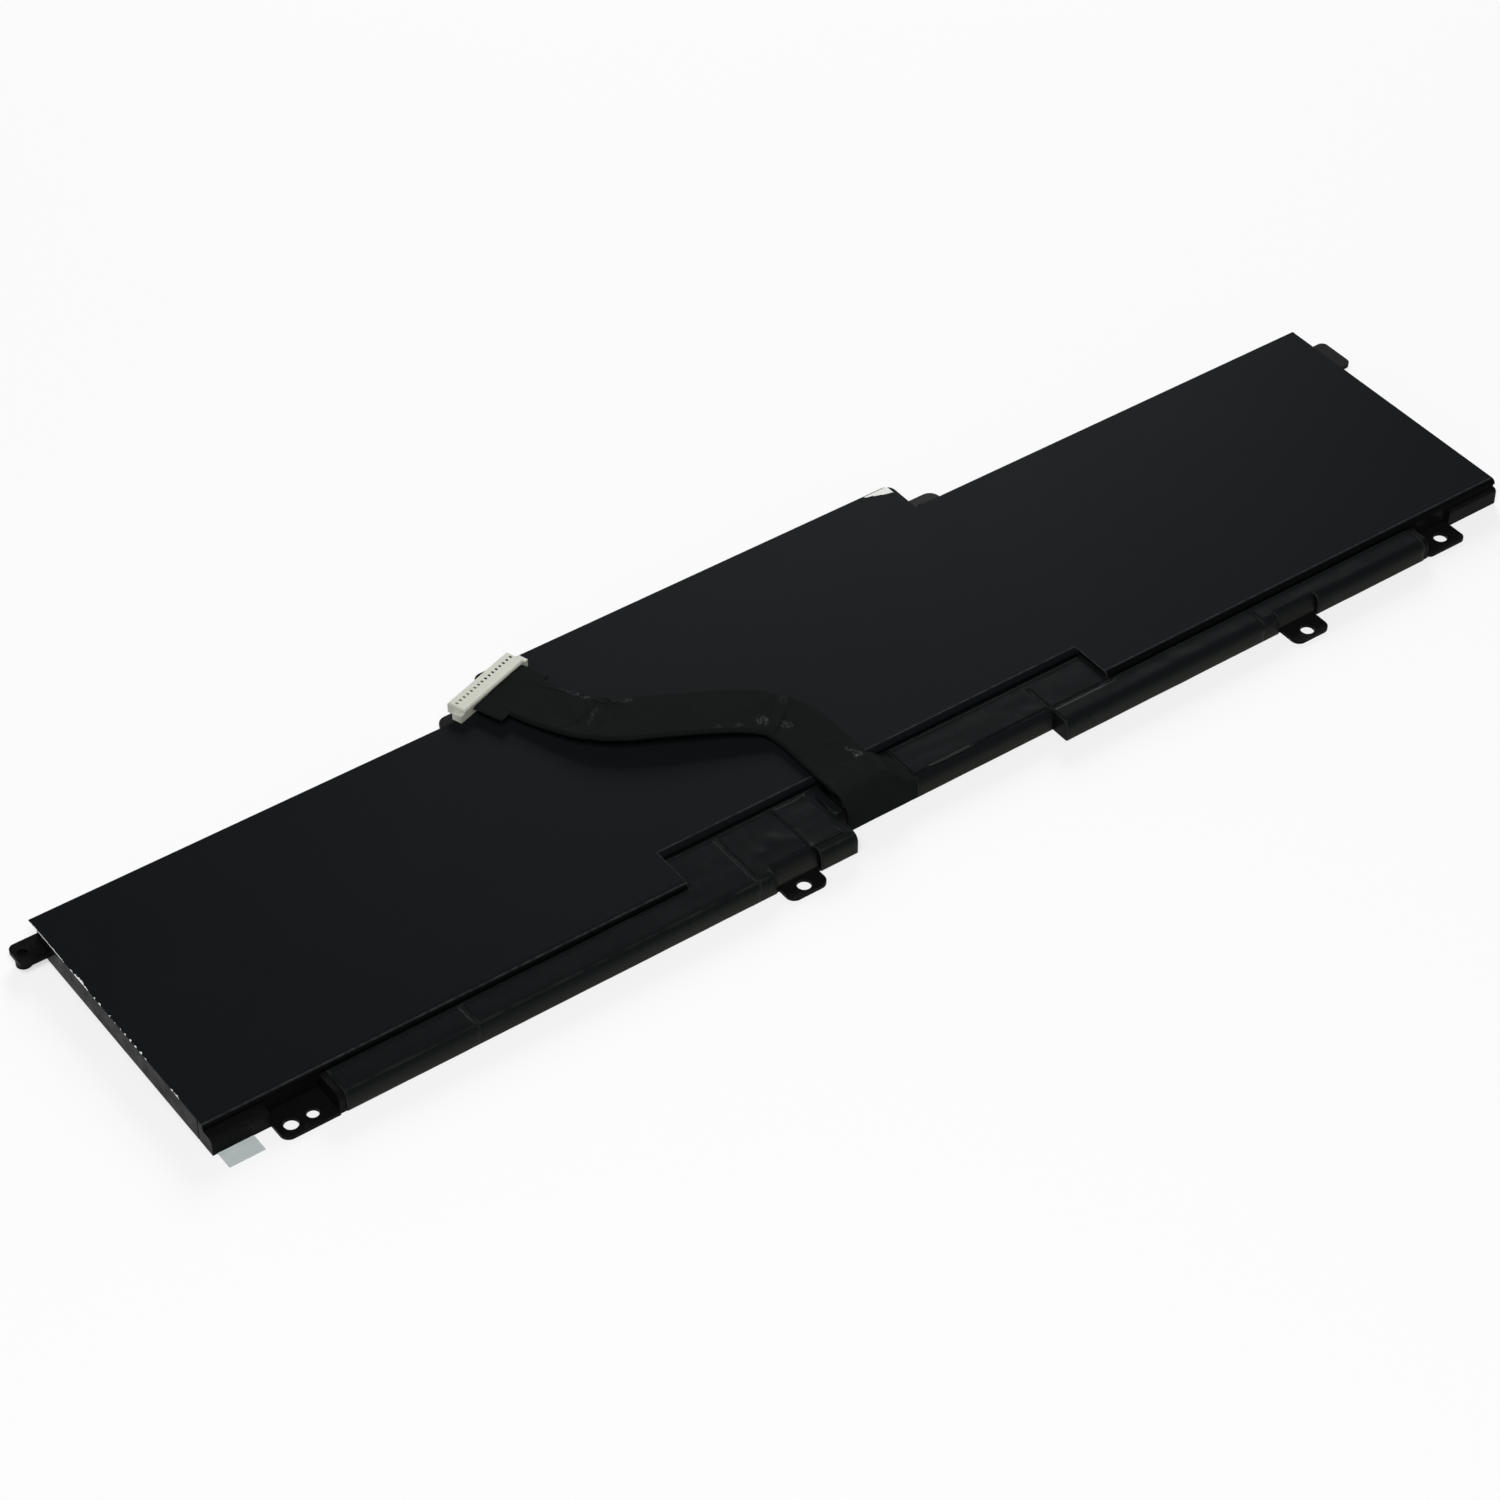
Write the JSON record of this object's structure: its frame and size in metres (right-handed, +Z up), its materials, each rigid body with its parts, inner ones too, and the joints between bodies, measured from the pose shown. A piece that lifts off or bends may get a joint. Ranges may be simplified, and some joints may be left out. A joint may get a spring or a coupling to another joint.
{
  "type": "laptop battery",
  "caption": "Thin internal laptop battery: staggered pouch cells in a black moulded carrier under film, with a taped front rail, screw tabs and a flat cable to a small connector.",
  "frame": {"origin": "middle of the pack's outline without its cable, at the underside", "axes": "+X along the pack to the right seen from the front rail, +Y from the front rail to the back edge, +Z up through the films"},
  "size_m": [0.3424, 0.0892, 0.0097],
  "materials": {
    "moulded_black": "satin",
    "pouch_laminate": "satin",
    "aluminium_foil": "satin",
    "nickel": "satin",
    "adhesive_white": "matte",
    "film_black": "matte",
    "board_green": "satin",
    "chip_black": "matte",
    "chip_grey": "matte",
    "tape_black": "satin",
    "cloth_tape": "matte",
    "wire_black": "matte",
    "connector_cream": "satin",
    "contact_gold": "polished",
    "tape_pale": "satin"
  },
  "bodies": {
    "root": {"carrier_frame": "moulded_black", "cell_left": "pouch_laminate", "cell_middle": "pouch_laminate", "cell_right": "pouch_laminate", "positive_tabs": "aluminium_foil", "negative_tabs": "nickel", "weld_plates": "nickel", "cell_pads": "adhesive_white", "top_film": "film_black", "bottom_film": "film_black", "protection_board": "board_green", "power_transistors": "chip_black", "gauge_chip": "chip_black", "protector_chip": "chip_black", "safety_fuse": "chip_grey", "sense_resistor": "chip_grey", "thermistor": "chip_black", "chip_parts": "chip_grey", "tape_left_end": "tape_black", "tape_left_long": "tape_black", "tape_middle_left": "tape_black", "tape_patch": "tape_black", "tape_middle_right": "tape_black", "tape_right_inner": "tape_black", "tape_right_end": "tape_black", "cable_exit_tape": "cloth_tape", "cable": "cloth_tape", "cable_end_tape": "cloth_tape", "lead_wires": "wire_black", "connector_housing": "connector_cream", "connector_contacts": "contact_gold", "tape_tail": "tape_pale"}
  },
  "joints": []
}
